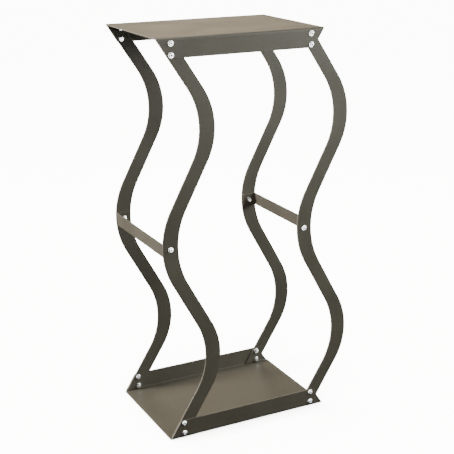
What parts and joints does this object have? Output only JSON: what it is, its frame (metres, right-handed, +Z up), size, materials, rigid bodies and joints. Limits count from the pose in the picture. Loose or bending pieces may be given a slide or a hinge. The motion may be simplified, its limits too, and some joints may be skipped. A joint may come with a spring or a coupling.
{
  "type": "firewood log rack",
  "caption": "Tall open firewood log rack: a folded steel tray and matching top shelf joined by wavy flat-steel legs and folded side braces.",
  "frame": {"origin": "on the floor, under the middle of the tray", "axes": "+Z up, +X to the right and -Y to the front; the legs' waves bulge towards +X"},
  "size_m": [0.5094, 0.3302, 1],
  "materials": {
    "powder_coat": "warm charcoal satin powder coat",
    "zinc_plate": "bright zinc plating"
  },
  "bodies": {
    "root": {"base_tray": "powder_coat", "top_shelf": "powder_coat", "leg_front_left": "powder_coat", "bolt_front_left_foot_lower": "zinc_plate", "nut_front_left_foot_lower": "zinc_plate", "bolt_front_left_foot_upper": "zinc_plate", "nut_front_left_foot_upper": "zinc_plate", "bolt_front_left_middle": "zinc_plate", "nut_front_left_middle": "zinc_plate", "bolt_front_left_top_lower": "zinc_plate", "nut_front_left_top_lower": "zinc_plate", "bolt_front_left_top_upper": "zinc_plate", "nut_front_left_top_upper": "zinc_plate", "leg_rear_left": "powder_coat", "bolt_rear_left_foot_lower": "zinc_plate", "nut_rear_left_foot_lower": "zinc_plate", "bolt_rear_left_foot_upper": "zinc_plate", "nut_rear_left_foot_upper": "zinc_plate", "bolt_rear_left_middle": "zinc_plate", "nut_rear_left_middle": "zinc_plate", "bolt_rear_left_top_lower": "zinc_plate", "nut_rear_left_top_lower": "zinc_plate", "bolt_rear_left_top_upper": "zinc_plate", "nut_rear_left_top_upper": "zinc_plate", "brace_left": "powder_coat", "leg_front_right": "powder_coat", "bolt_front_right_foot_lower": "zinc_plate", "nut_front_right_foot_lower": "zinc_plate", "bolt_front_right_foot_upper": "zinc_plate", "nut_front_right_foot_upper": "zinc_plate", "bolt_front_right_middle": "zinc_plate", "nut_front_right_middle": "zinc_plate", "bolt_front_right_top_lower": "zinc_plate", "nut_front_right_top_lower": "zinc_plate", "bolt_front_right_top_upper": "zinc_plate", "nut_front_right_top_upper": "zinc_plate", "leg_rear_right": "powder_coat", "bolt_rear_right_foot_lower": "zinc_plate", "nut_rear_right_foot_lower": "zinc_plate", "bolt_rear_right_foot_upper": "zinc_plate", "nut_rear_right_foot_upper": "zinc_plate", "bolt_rear_right_middle": "zinc_plate", "nut_rear_right_middle": "zinc_plate", "bolt_rear_right_top_lower": "zinc_plate", "nut_rear_right_top_lower": "zinc_plate", "bolt_rear_right_top_upper": "zinc_plate", "nut_rear_right_top_upper": "zinc_plate", "brace_right": "powder_coat"}
  },
  "joints": []
}
